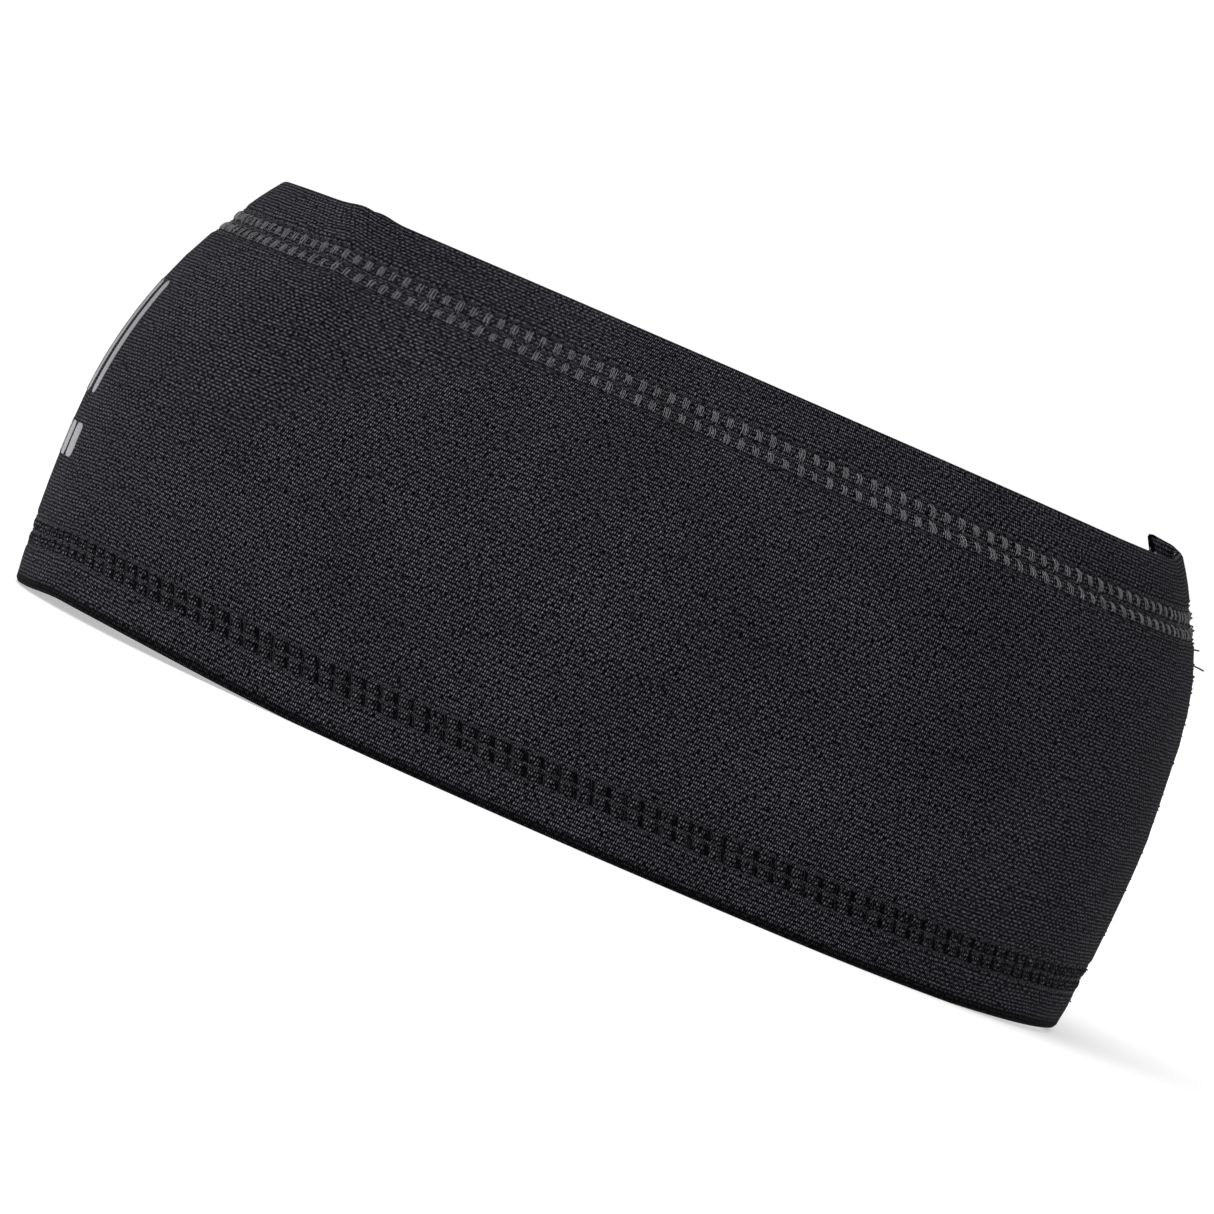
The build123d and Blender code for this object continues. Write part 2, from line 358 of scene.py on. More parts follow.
def shape_mesh(mesh, points, first, second):
    """Moves a mesh's vertices to points, and keeps their flat place as its UV map, in millimetres."""
    mesh.vertices.foreach_set("co", np.asarray(points, np.float32).ravel())
    uv_map = mesh.uv_layers.new(name=UV_NAME)
    corner = np.empty(len(mesh.loops), np.int32)
    mesh.loops.foreach_get("vertex_index", corner)
    uv_map.data.foreach_set("uv", np.stack([first[corner], second[corner]], axis=-1).ravel())
    mesh.polygons.foreach_set("use_smooth", np.ones(len(mesh.polygons), bool))
    mesh.update()


def new_object(name, data):
    """A new object in the scene, at the origin."""
    thing = bpy.data.objects.new(name, data)
    bpy.context.scene.collection.objects.link(thing)
    return thing


def finished_piece(name, mesh, material, slot, nodes):
    """Makes the piece that stands for CAD nodes, rides on the band and has the given material; slot is
    not used.
    """
    mesh.name = name
    piece = new_object(name, mesh)
    mesh.materials.append(material)
    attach(piece, "root")
    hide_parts(*nodes)
    print(name, len(mesh.polygons), "faces")
    return piece


def thicken(piece, name, thickness):
    """Gives a sheet its thickness, in millimetres, half of it to each side."""
    solid = piece.modifiers.new(name, "SOLIDIFY")
    solid.thickness = thickness * MM
    solid.offset = 0


# %% How the stitches pull the cloth
ROWS = (-1, 0, 1)  # the needle rows of a hem, in gauges from the middle one
GROOVE, GROOVE_WIDTH = 0.22, 0.55  # how deep and how wide a needle row sinks
STROKE = {"upper": 0.12, "lower": -0.60}  # how high the cloth stands under the cover strokes
PUFF = {"upper": -0.10, "lower": 0.30}  # and how high between two strokes
SLANT = {"upper": 0.15, "lower": 0.30}  # how far the strokes lean back for each step up
PUFF_WIDTH = 0.42  # in gauges
SHOULDER, SHOULDER_AWAY, SHOULDER_WIDTH = 0.10, 1.9, 1.1  # how the cloth swells beside the stitches
WAIST = {"upper": 0.55, "lower": 0.25}  # how far a whole stitched zone is drawn in
WAIST_WIDTH = 1.2  # in gauges
INSIDE_PULL = 0.3  # share of all this that the hem's layer inside takes


def stitch_pull(around, run, strength):
    """The cloth's rise and fall at a hem: drawn in at the needle rows, puffed up between them."""
    rise = np.zeros_like(around)
    for hem, middle in STITCH_RUN.items():
        from_middle = run - middle
        aside = np.abs(from_middle)
        for row in ROWS:
            rise = rise - GROOVE * hill(from_middle - row * GAUGE[hem], GROOVE_WIDTH)
        beat = np.cos(2 * math.pi * (around + SLANT[hem] * from_middle) / STITCH)
        bulge = np.where(beat > 0, STROKE[hem] * beat, -PUFF[hem] * beat)
        rise = rise + bulge * hill(aside - GAUGE[hem] / 2, PUFF_WIDTH * GAUGE[hem])
        rise = rise + SHOULDER * hill(aside - GAUGE[hem] - SHOULDER_AWAY, SHOULDER_WIDTH)
        rise = rise - WAIST[hem] * hill(from_middle, WAIST_WIDTH * GAUGE[hem])
    return rise * strength


# %% The strip's rows, closer at the hems
def spread(stops, counts):
    """Even steps between stops, as many as counts says for each span."""
    spans = zip(stops, stops[1:], counts)
    steps = [np.linspace(start, end, count, endpoint=False) for start, end, count in spans]
    return np.concatenate(steps + [stops[-1:]])


STITCHED = {hem: GAUGE[hem] + 1.2 for hem in HEMS}  # half of the zone that the stitches pull
stops = np.array(
    [
        FLAT_LOW,
        LOWER_END - FOLD_RUN,
        LOWER_END,
        STITCH_RUN["lower"] - STITCHED["lower"],
        STITCH_RUN["lower"] + STITCHED["lower"],
        STITCH_RUN["upper"] - STITCHED["upper"],
        STITCH_RUN["upper"] + STITCHED["upper"],
        UPPER_END,
        UPPER_END + FOLD_RUN,
        FLAT_HIGH,
    ]
)
ROWS_BETWEEN = (4, 4, 3, 13, 10, 14, 3, 4, 4)
rows = spread(stops, ROWS_BETWEEN)
STITCH_COLUMNS, END_COLUMNS = 4, 9  # in one stitch, and in one seam allowance
columns = np.concatenate(
    [
        np.linspace(-SEAM_ALLOWANCE, 0, END_COLUMNS, endpoint=False),
        np.linspace(0, FLAT_ROUND, STITCH_COLUMNS * STITCHES, endpoint=False),
        np.linspace(FLAT_ROUND, FLAT_ROUND + SEAM_ALLOWANCE, END_COLUMNS + 1),
    ]
)
print(len(columns), "columns,", len(rows), "rows")

# %% Fold and wrap the strip
strip_mesh, along_share, across_share = flat_grid(len(columns) - 1, len(rows) - 1)
strip_around = np.interp(along_share * (len(columns) - 1), np.arange(len(columns)), columns)
strip_across = np.interp(across_share * (len(rows) - 1), np.arange(len(rows)), rows)
strip_run, strip_turn, _ = fold_back(strip_across)
FOLDED = 3.0  # radians of turn, nearly all of a fold
pull_share = np.where(strip_turn > 0, INSIDE_PULL * (strip_turn > FOLDED), 1.0)
strip_lift = stitch_pull(strip_around, strip_run, pull_share)
from_seam = np.minimum(np.abs(strip_around), np.abs(strip_around - FLAT_ROUND))
PUCKER, PUCKER_WIDTH, SEAM_STITCH = 0.3, 2.4, 2.2  # waves beside the seam, one to a seam stitch
pucker = PUCKER * hill(from_seam, PUCKER_WIDTH) * np.cos(2 * math.pi * strip_run / SEAM_STITCH)
strip_lift = strip_lift + pucker
strip_points = band_point(strip_around, strip_across, strip_lift)
shape_mesh(strip_mesh, strip_points, strip_around, strip_across)
print("strip", len(strip_mesh.polygons), "faces")

# %% [markdown]
# ## Fibres and films
# Every finish here follows the cloth, so each reads the piece's own UV map, which holds the place on
# the flat strip in millimetres: a rib stays a rib round the fold and over the temple. The loops of the
# knit, the painted shade round the stitches and the ply of a thread are three shader node groups that
# put out heights and masks, and each material mixes its own colours with them.


# %% Small helpers for shader nodes
def add_node(tree, kind, values=None, **settings):
    """Adds a node, sets its options, and links or sets its inputs by name or number."""
    node = tree.nodes.new(kind)
    for option, value in settings.items():
        setattr(node, option, value)
    for socket, value in (values or {}).items():
        if isinstance(value, bpy.types.NodeSocket):
            tree.links.new(value, node.inputs[socket])
        else:
            node.inputs[socket].default_value = value
    return node


def sums(tree, operation, *values):
    """A Math node's result."""
    return add_node(tree, "ShaderNodeMath", dict(enumerate(values)), operation=operation).outputs[0]


def between(tree, value, low_in, high_in, low_out, high_out):
    """A Map Range node's result, held within its range."""
    numbers = {0: value, 1: low_in, 2: high_in, 3: low_out, 4: high_out}
    return add_node(tree, "ShaderNodeMapRange", numbers).outputs[0]


def new_group(name, inputs, outputs):
    """A shader node group with float or vector inputs and float outputs."""
    group = bpy.data.node_groups.new(name, "ShaderNodeTree")
    for label, value in inputs.items():
        kind = "NodeSocketVector" if value is None else "NodeSocketFloat"
        socket = group.interface.new_socket(name=label, in_out="INPUT", socket_type=kind)
        if value is not None:
            socket.default_value = value
    for label in outputs:
        group.interface.new_socket(name=label, in_out="OUTPUT", socket_type="NodeSocketFloat")
    return group, group.nodes.new("NodeGroupInput"), group.nodes.new("NodeGroupOutput")


# %% The knit: ribs along the strip, each a row of small loops, one in three of them prouder
knit_inputs = {"Place": None, "Rib pitch": 0.64, "Loop pitch": 0.378, "Shift": 0.13}
knit, given, result = new_group("knit_loops", knit_inputs, ("Height", "Glint", "Cloud"))


def wave(tree, turns):
    """A cosine between 0 and 1 that repeats with each whole turn."""
    angle = sums(tree, "MULTIPLY", turns, 2 * math.pi)
    return between(tree, sums(tree, "COSINE", angle), -1, 1, 0, 1)


wander = add_node(knit, "ShaderNodeTexNoise", {"Vector": given.outputs["Place"], "Scale": 0.12})
place = add_node(knit, "ShaderNodeSeparateXYZ", {0: given.outputs["Place"]})
sway = sums(knit, "MULTIPLY", sums(knit, "SUBTRACT", wander.outputs[0], 0.5), 0.6)
rib = sums(knit, "DIVIDE", sums(knit, "ADD", place.outputs[1], sway), given.outputs["Rib pitch"])
rib_number = sums(knit, "FLOOR", sums(knit, "ADD", rib, 0.5))
loop = sums(knit, "DIVIDE", sums(knit, "ADD", place.outputs[0], sway), given.outputs["Loop pitch"])
loop = sums(knit, "SUBTRACT", loop, sums(knit, "MULTIPLY", rib_number, given.outputs["Shift"]))
third = sums(knit, "DIVIDE", sums(knit, "ADD", loop, sums(knit, "MULTIPLY", rib_number, 2)), 3)
proud = between(knit, wave(knit, third), 0, 1, 0.3, 1.2)
rib_height = between(knit, wave(knit, rib), 0, 1, 0.05, 1)
loop_height = between(knit, wave(knit, loop), 0.1, 1, 0, 1)
fuzz = add_node(knit, "ShaderNodeTexNoise", {"Vector": given.outputs["Place"], "Scale": 1.8})
fuzz_height = between(knit, fuzz.outputs[0], 0.34, 0.66, 0.0, 1.9)
height = sums(knit, "MULTIPLY", sums(knit, "MULTIPLY", rib_height, loop_height), proud)
height = sums(knit, "POWER", sums(knit, "MULTIPLY", height, fuzz_height), 1.35)
# Bright spots on the loop tops: the mask of painted glints.
glint_noise = add_node(knit, "ShaderNodeTexNoise", {"Vector": given.outputs["Place"], "Scale": 2.9})
glint_mask = sums(knit, "MULTIPLY", between(knit, glint_noise.outputs[0], 0.56, 0.70, 0, 1), height)
cloud = add_node(knit, "ShaderNodeTexNoise", {"Vector": given.outputs["Place"], "Scale": 0.05})
knit.links.new(height, result.inputs["Height"])
knit.links.new(glint_mask, result.inputs["Glint"])
knit.links.new(cloud.outputs[0], result.inputs["Cloud"])

# %% Painted shade at a hem: dark lines at the needle rows, dark pits between the strands, a darker zone
shade_inputs = {"Place": None, "Middle": 0.0, "Gauge": 3.0, "Stitch": STITCH, "Slant": 0.2}
stitched, given, result = new_group("stitch_shade", shade_inputs, ("Line", "Pit", "Zone"))
place = add_node(stitched, "ShaderNodeSeparateXYZ", {0: given.outputs["Place"]})
from_middle = sums(stitched, "SUBTRACT", place.outputs[1], given.outputs["Middle"])
aside = sums(stitched, "ABSOLUTE", from_middle)
from_outer = sums(stitched, "ABSOLUTE", sums(stitched, "SUBTRACT", aside, given.outputs["Gauge"]))
nearest = sums(stitched, "MINIMUM", aside, from_outer)
half_gauge = sums(stitched, "MULTIPLY", given.outputs["Gauge"], 0.5)
from_gap = sums(stitched, "ABSOLUTE", sums(stitched, "SUBTRACT", aside, half_gauge))
lean = sums(stitched, "MULTIPLY", from_middle, given.outputs["Slant"])
leant = sums(stitched, "ADD", place.outputs[0], lean)
beat = wave(stitched, sums(stitched, "DIVIDE", leant, given.outputs["Stitch"]))
in_gap = between(stitched, from_gap, 0.75, 1.15, 1, 0)
pit = sums(stitched, "MULTIPLY", between(stitched, beat, 0.42, 0.75, 0, 1), in_gap)
stitched.links.new(between(stitched, nearest, 0.10, 0.32, 1, 0), result.inputs["Line"])
stitched.links.new(pit, result.inputs["Pit"])
zone = between(stitched, sums(stitched, "SUBTRACT", aside, given.outputs["Gauge"]), 0.1, 0.6, 1, 0)
stitched.links.new(zone, result.inputs["Zone"])

# %% The ply: fine filaments that wind round a thread
ply_inputs = {"Place": None, "Lay": 0.55, "Filaments": 3.0}
ply, given, result = new_group("thread_ply", ply_inputs, ("Height", "Tone"))
place = add_node(ply, "ShaderNodeSeparateXYZ", {0: given.outputs["Place"]})
wind = sums(ply, "DIVIDE", place.outputs[0], given.outputs["Lay"])
wind = sums(ply, "ADD", wind, sums(ply, "MULTIPLY", place.outputs[1], given.outputs["Filaments"]))
strand = between(ply, sums(ply, "COSINE", sums(ply, "MULTIPLY", wind, 2 * math.pi)), -1, 1, 0, 1)
frizz = add_node(ply, "ShaderNodeTexNoise", {"Vector": given.outputs["Place"], "Scale": 1.3})
ply.links.new(strand, result.inputs["Height"])
ply.links.new(between(ply, frizz.outputs[0], 0.3, 0.7, 0, 1), result.inputs["Tone"])


# %% A cloth-like material from one of the groups
def start_material(name, group, inputs):
    """A material with its shader, the cloth's place and a group that reads it."""
    material = bpy.data.materials.new(name)
    material.use_nodes = True
    tree = material.node_tree
    uv = add_node(tree, "ShaderNodeUVMap", uv_map=UV_NAME)
    holder = add_node(tree, "ShaderNodeGroup", node_tree=group)
    tree.links.new(uv.outputs[0], holder.inputs["Place"])
    for label, value in inputs.items():
        holder.inputs[label].default_value = value
    return material, tree, tree.nodes["Principled BSDF"], holder, uv


def mixed(tree, factor, first, second):
    """A colour between two colours."""
    values = {"Factor": factor, "A": first, "B": second}
    node = add_node(tree, "ShaderNodeMix", data_type="RGBA")
    for label, value in values.items():
        socket = next(s for s in node.inputs if s.name == label and s.enabled)
        if isinstance(value, bpy.types.NodeSocket):
            tree.links.new(value, socket)
        else:
            socket.default_value = value if label == "Factor" else (*value, 1.0)
    return next(s for s in node.outputs if s.enabled)


def bump(tree, shader, height, distance):
    """Feeds a height, in metres at 1, to the shader's normal."""
    values = {"Height": height, "Distance": distance, "Strength": 1.0}
    tree.links.new(add_node(tree, "ShaderNodeBump", values).outputs[0], shader.inputs["Normal"])


# %% Knit cloth
cloth, tree, shader, holder, uv = start_material("knit_cloth", knit, {})
loops = holder.outputs["Height"]
# Painted sheen and shade: the loop tops are painted light grey and the gaps between them near black,
# on black knit.
tone = mixed(tree, loops, (0.0004, 0.0004, 0.0006), (0.190, 0.182, 0.222))
# Painted glints: bright spots on the loop tops.
tone = mixed(tree, holder.outputs["Glint"], tone, (0.34, 0.335, 0.37))
# A large random cloud of darker tone; the painted shade of the stitches and the fold is added to it
# below.
shade = between(tree, holder.outputs["Cloud"], 0.3, 0.7, 0.25, 0.0)
# Painted shade for each hem: how dark its needle-row lines, its pits and its whole stitched zone are.
SHADES = {"upper": (0.9, 0.0, 0.0), "lower": (0.0, 0.97, 0.25)}  # line, pit and whole zone
for hem in HEMS:
    stitch_shading = add_node(tree, "ShaderNodeGroup", node_tree=stitched)
    tree.links.new(uv.outputs[0], stitch_shading.inputs["Place"])
    stitch_shading.inputs["Middle"].default_value = STITCH_RUN[hem]
    stitch_shading.inputs["Gauge"].default_value = GAUGE[hem]
    stitch_shading.inputs["Slant"].default_value = SLANT[hem]
    for label, amount in zip(("Line", "Pit", "Zone"), SHADES[hem]):
        if amount:
            painted_hem_shade = sums(tree, "MULTIPLY", stitch_shading.outputs[label], amount)
            shade = sums(tree, "MAXIMUM", shade, painted_hem_shade)
across_place = add_node(tree, "ShaderNodeSeparateXYZ", {0: uv.outputs[0]}).outputs[1]
# Painted shade: a dark band just above the lower fold, where the cloth turns away downwards.
painted_fold_shade = between(tree, across_place, LOWER_END + 0.5, LOWER_END + 1.6, 0.85, 0)
shade = sums(tree, "MAXIMUM", shade, painted_fold_shade)
# The random cloud and the painted shade darken the knit to near black.
tone = mixed(tree, shade, tone, (0.0008, 0.0008, 0.001))
tree.links.new(tone, shader.inputs["Base Color"])
shader.inputs["Roughness"].default_value = 0.85
shader.inputs["Sheen Weight"].default_value = 0.006
shader.inputs["Sheen Roughness"].default_value = 0.4
shader.inputs["Specular IOR Level"].default_value = 0.02
bump(tree, shader, loops, 0.00016)


# %% Threads
def thread_material(name, dark, light, sheen, lay):
    """A spun thread: wound filaments, with painted shade between them."""
    material, tree, shader, holder, _ = start_material(name, ply, {"Lay": lay})
    tone = mixed(tree, holder.outputs["Height"], dark, light)
    tone = mixed(tree, between(tree, holder.outputs["Tone"], 0, 1, 0, 0.5), tone, dark)
    tree.links.new(tone, shader.inputs["Base Color"])
    gloss = between(tree, holder.outputs["Height"], 0, 1, 0.7, 0.4)
    tree.links.new(gloss, shader.inputs["Roughness"])
    shader.inputs["Specular IOR Level"].default_value = 0.15
    shader.inputs["Sheen Weight"].default_value = sheen
    shader.inputs["Sheen Roughness"].default_value = 0.3
    bump(tree, shader, holder.outputs["Height"], 0.00005)
    return material


needle_finish = thread_material(
    "sewing_thread", (0.001, 0.001, 0.0012), (0.03, 0.03, 0.034), sheen=0.0, lay=0.5
)
# A lit copy of the dark textured thread: the light grey of its filament tops is painted sheen.
sheen_painted_cover = thread_material(
    "cover_thread_painted_sheen", (0.006, 0.006, 0.007), (0.42, 0.415, 0.43), sheen=0.02, lay=0.7
)
dark_finish = thread_material(
    "textured_thread", (0.003, 0.003, 0.0034), (0.05, 0.049, 0.055), sheen=0.0, lay=0.7
)

# %% Reflective film: a silver print that cracks along the ribs under it
film, tree, shader, holder, uv = start_material("reflective_film", knit, {})
beads = add_node(tree, "ShaderNodeTexNoise", {"Vector": uv.outputs[0], "Scale": 9.0})
tone = mixed(tree, beads.outputs[0], (0.20, 0.20, 0.21), (0.42, 0.42, 0.44))
crack = between(tree, holder.outputs["Height"], 0.0, 0.22, 0.35, 0.0)
tone = mixed(tree, crack, tone, (0.07, 0.07, 0.075))
tree.links.new(tone, shader.inputs["Base Color"])
shader.inputs["Metallic"].default_value = 0.55
tree.links.new(between(tree, beads.outputs[0], 0.3, 0.7, 0.32, 0.5), shader.inputs["Roughness"])
bump(tree, shader, holder.outputs["Height"], 0.00006)

# %% Label satin: fine warp floats, pale grey
floats = {"Rib pitch": 0.22, "Loop pitch": 0.9}
satin, tree, shader, holder, _ = start_material("label_satin", knit, floats)
tone = mixed(tree, holder.outputs["Height"], (0.36, 0.36, 0.37), (0.55, 0.55, 0.56))
tree.links.new(tone, shader.inputs["Base Color"])
tree.links.new(between(tree, holder.outputs["Height"], 0, 1, 0.5, 0.3), shader.inputs["Roughness"])
shader.inputs["Sheen Weight"].default_value = 0.2
bump(tree, shader, holder.outputs["Height"], 0.00003)

# %% Finish the cloth
cloth_piece = finished_piece("folded_knit_strip", strip_mesh, cloth, "knit_cloth", ["knit_band"])
thicken(cloth_piece, "cloth thickness", CLOTH)

# %% [markdown]
# ## Threads
# A thread can be a curve with a round bevel, but one whose path is given on the flat cloth can go
# through the same fold-and-wrap formula as the knit, and then it can't leave it. So a thread is a flat
# grid rolled up round its path: along the path one way, round the section the other.


# %% Roll grids round paths on the cloth
THREAD_SIDES = 5
JUST_ABOVE = 0.1  # a place this much higher tells which way is outwards


def thread_mesh(name, paths, radius):
    """One mesh of several threads; each path is (around, across, lift) in millimetres."""
    whole = bmesh.new()
    for around, across, lift in paths:
        line = band_point(around, across, lift)
        over = band_point(around, across, lift + JUST_ABOVE) - line
        along = np.gradient(line, axis=0)
        along /= np.linalg.norm(along, axis=1, keepdims=True)
        over -= along * np.sum(over * along, axis=1, keepdims=True)
        over /= np.linalg.norm(over, axis=1, keepdims=True)
        beside = np.cross(along, over)
        mesh, along_share, round_share = flat_grid(len(line) - 1, THREAD_SIDES)
        at = np.rint(along_share * (len(line) - 1)).astype(int)
        angle = round_share[:, None] * 2 * math.pi
        section = over[at] * np.cos(angle) + beside[at] * np.sin(angle)
        steps = np.linalg.norm(np.diff(line, axis=0), axis=1) / MM
        distance = np.concatenate([[0], np.cumsum(steps)])
        shape_mesh(mesh, line[at] + section * radius * MM, distance[at], round_share)
        whole.from_mesh(mesh)
        bpy.data.meshes.remove(mesh)
    bmesh.ops.remove_doubles(whole, verts=whole.verts, dist=radius * MM / 50)
    ends = [edge for edge in whole.edges if edge.is_boundary]
    bmesh.ops.holes_fill(whole, edges=ends, sides=0)
    bmesh.ops.recalc_face_normals(whole, faces=whole.faces)
    mesh = bpy.data.meshes.new(name)
    whole.to_mesh(mesh)
    whole.free()
    return mesh


def on_cloth(around, run, rise):
    """The lift that lays a thread on the outer face, rise above it."""
    return stitch_pull(around, run, np.ones_like(around)) + HALF + rise


# %% [markdown]
# ## Coverstitch
# Three needles sew each hem. Outside, the cover thread runs to and fro between the needle threads;
# inside, the looper thread does the same and binds the raw edge. On the real band the cover thread is
# soft and bulky, so it is made of three fine strands side by side. They lie in short slanting strokes
# and dip below the face at each needle row.

# %% Needle threads of a hem
THREAD = 0.17  # radius of a sewing thread
NEEDLE_STEPS = 8  # in one stitch
NEEDLE_SUNK = 0.55  # how deep the thread goes where a stitch ends
NEEDLE_END = 0.4  # the rows stop this far from the seam line


def needle_paths(hem):
    """Three rows of stitches that surface between their holes."""
    count = STITCHES * NEEDLE_STEPS
    around = np.linspace(NEEDLE_END, FLAT_ROUND - NEEDLE_END, count + 1)
    phase = 2 * math.pi * around / STITCH
    for row in ROWS:
        run = np.full_like(around, STITCH_RUN[hem] + row * GAUGE[hem])
        sunk = np.clip(np.cos(phase), 0, 1) ** 2
        yield around, run, on_cloth(around, run, THREAD * 0.5 - NEEDLE_SUNK * sunk)


# %% Cover thread of a hem
COVER = 0.058  # radius of one strand of the cover thread
STRANDS = (-0.18, 0.0, 0.18)  # the strands lie side by side
COVER_STEPS = 22  # in one stitch
COVER_END = 0.15  # the strands stop this far from the seam line, in stitches
COVER_RISE = {"upper": 0.11, "lower": 0.02}
COVER_SUNK = 0.35  # how far below the face the strands turn
COVER_BOW = 0.10  # how far a stroke bows along the hem, in stitches
COVER_SPREAD = 0.11  # half the distance between the strokes up and down, in stitches


def cover_paths(hem):
    """Strands that run up over both gaps and back, and on to the next stitch below the face."""
    count = STITCHES * COVER_STEPS
    stitch = np.linspace(COVER_END, STITCHES - COVER_END, count + 1)
    whole, part = np.floor(stitch), stitch % 1
    times = (0.00, 0.42, 0.50, 0.92, 1.00)
    up = np.interp(part, times, (-1.0, 1.0, 1.0, -1.0, -1.0))
    ends = (-COVER_SPREAD, -COVER_SPREAD, COVER_SPREAD, COVER_SPREAD, 1 - COVER_SPREAD)
    on = np.interp(part, times, ends)
    bow = np.sin(math.pi * np.abs(up))
    sunk = COVER_SUNK * (1 - smooth(0.1, 0.8, bow))
    lean = SLANT[hem] * GAUGE[hem] * up
    for number, strand in enumerate(STRANDS):
        uneven = 0.09 * np.sin(2.3 * whole + 2 * number) + 0.07 * np.sin(9.7 * whole + up)
        astray = 0.13 * np.sin(5.3 * whole + 3 * number + 2 * up)
        beside = strand * (0.6 + 0.4 * bow) + astray * bow
        around = (whole + on + COVER_BOW * bow) * STITCH - lean + beside
        run = STITCH_RUN[hem] + GAUGE[hem] * up
        yield around, run, on_cloth(around, run, COVER_RISE[hem] * bow - sunk + uneven)


# %% Looper thread inside a hem
LOOPER_STEPS = 10  # in one stitch
LOOPER_END = 0.2  # the loops stop this far from the seam line, in stitches
LOOPER_RISE = 0.12


def inside_across(run):
    """The place on the strip of the cloth layer that faces the head at a run, and its facing."""
    lower = run < LOWER_END + HEM_RUN["lower"]
    upper = run > UPPER_END - HEM_RUN["upper"]
    across = np.where(lower, 2 * LOWER_END - FOLD_RUN - run, run)
    across = np.where(upper, 2 * UPPER_END + FOLD_RUN - run, across)
    return across, np.where(lower | upper, 1.0, -1.0)


def looper_paths(hem):
    """A flat ladder of loops over the hem's raw edge."""
    stitch = np.linspace(LOOPER_END, STITCHES - LOOPER_END, STITCHES * LOOPER_STEPS + 1)
    there = (1 - np.cos(2 * math.pi * stitch)) / 2
    around = (stitch + 0.22 * np.sin(4 * math.pi * stitch)) * STITCH
    run = STITCH_RUN[hem] + GAUGE[hem] * (2 * there - 1)
    across, facing = inside_across(run)
    pull = stitch_pull(around, run, np.full_like(around, INSIDE_PULL))
    yield around, across, facing * (pull + HALF + LOOPER_RISE)


# %% Sew both hems
# The upper hem's cover thread takes the lit copy with painted sheen, the lower one the thread's own
# dark finish.
FINISHES = {"upper": sheen_painted_cover, "lower": dark_finish}
for hem in HEMS:
    mesh = thread_mesh(hem, needle_paths(hem), THREAD)
    nodes = [f"{hem}_hem_needle_thread_{row}" for row in (1, 2, 3)]
    finished_piece(f"{hem}_hem_needle_stitches", mesh, needle_finish, "sewing_thread", nodes)
    mesh = thread_mesh(hem, cover_paths(hem), COVER)
    nodes = [f"{hem}_hem_cover_thread"]
    finished_piece(f"{hem}_hem_cover_stitches", mesh, FINISHES[hem], "textured_thread", nodes)
    mesh = thread_mesh(hem, looper_paths(hem), COVER)
    nodes = [f"{hem}_hem_looper_thread"]
    finished_piece(f"{hem}_hem_looper_stitches", mesh, dark_finish, "textured_thread", nodes)

# %% [markdown]
# ## Overlock
# The nape seam is bound with two needle threads and two looper threads, which loop over the raw edge
# once each stitch, one on each face of the allowance.

# %% Seam stitches on the face of the allowance that shows
SEAM_ROWS = (1.3, 3.5)  # needle rows, measured in from the seam line
SEAM_LOW, SEAM_HIGH = LOWER_END + 1.0, UPPER_END - 1.0
SEAM_THREAD, SEAM_LOOPER = 0.15, 0.2  # radii of its two kinds of thread
seam_count = round((SEAM_HIGH - SEAM_LOW) / SEAM_STITCH)


def seam_needle_paths():
    """Two rows along the seam, on the face that looks at the head."""
    stitch = np.linspace(0, seam_count, seam_count * 8 + 1)
    run = SEAM_LOW + stitch * SEAM_STITCH
    across, facing = inside_across(run)
    sunk = np.clip(np.cos(2 * math.pi * stitch), 0, 1) ** 2
    for row in SEAM_ROWS:
        yield np.full_like(run, -row), across, facing * (HALF + 0.1 - 0.4 * sunk)
    # The first needle's loops grin through to the outer side of the seam line, once a stitch.
    stitch = np.linspace(0, seam_count, seam_count * 12 + 1)
    run = SEAM_LOW + stitch * SEAM_STITCH
    swing = np.sin(2 * math.pi * stitch)
    uneven = 0.12 * np.sin(5.1 * stitch) + 0.08 * np.sin(1.7 * stitch + 1)
    around = np.mod(FLAT_ROUND - 0.5 + 0.9 * swing, FLAT_ROUND)
    yield around, run, HALF + 0.35 * np.cos(4 * math.pi * stitch) + uneven


TAILS = ((38.8, 1.6, 0.25), (36.8, 2.5, -0.45), (-22.0, 1.5, 0.4), (-27.5, 1.6, -0.2))


def tail_paths():
    """Thread ends that stand out of the seam: run, length and lean of each."""
    for run, length, lean in TAILS:
        share = np.linspace(0, 1, 9)
        away = length * share
        around = np.full_like(share, FLAT_ROUND - 0.3) - 0.6 * share**2
        yield around, run + lean * away + 0.3 * np.sin(4 * share), HALF - 0.4 + away


def seam_looper_paths(edge, face):
    """Loops from the inner needle row to the raw edge and round it."""
    stitch = np.linspace(0, seam_count, seam_count * 14 + 1)
    run = SEAM_LOW + stitch * SEAM_STITCH
    across, facing = inside_across(run)
    reach = (1 - np.cos(2 * math.pi * stitch)) / 2
    away = SEAM_ROWS[1] + (SEAM_ALLOWANCE + 0.25 - SEAM_ROWS[1]) * smooth(0, 0.8, reach)
    lift = HALF + 0.14 - 0.7 * smooth(0.75, 1.0, reach)
    yield edge + face * away, across, facing * lift


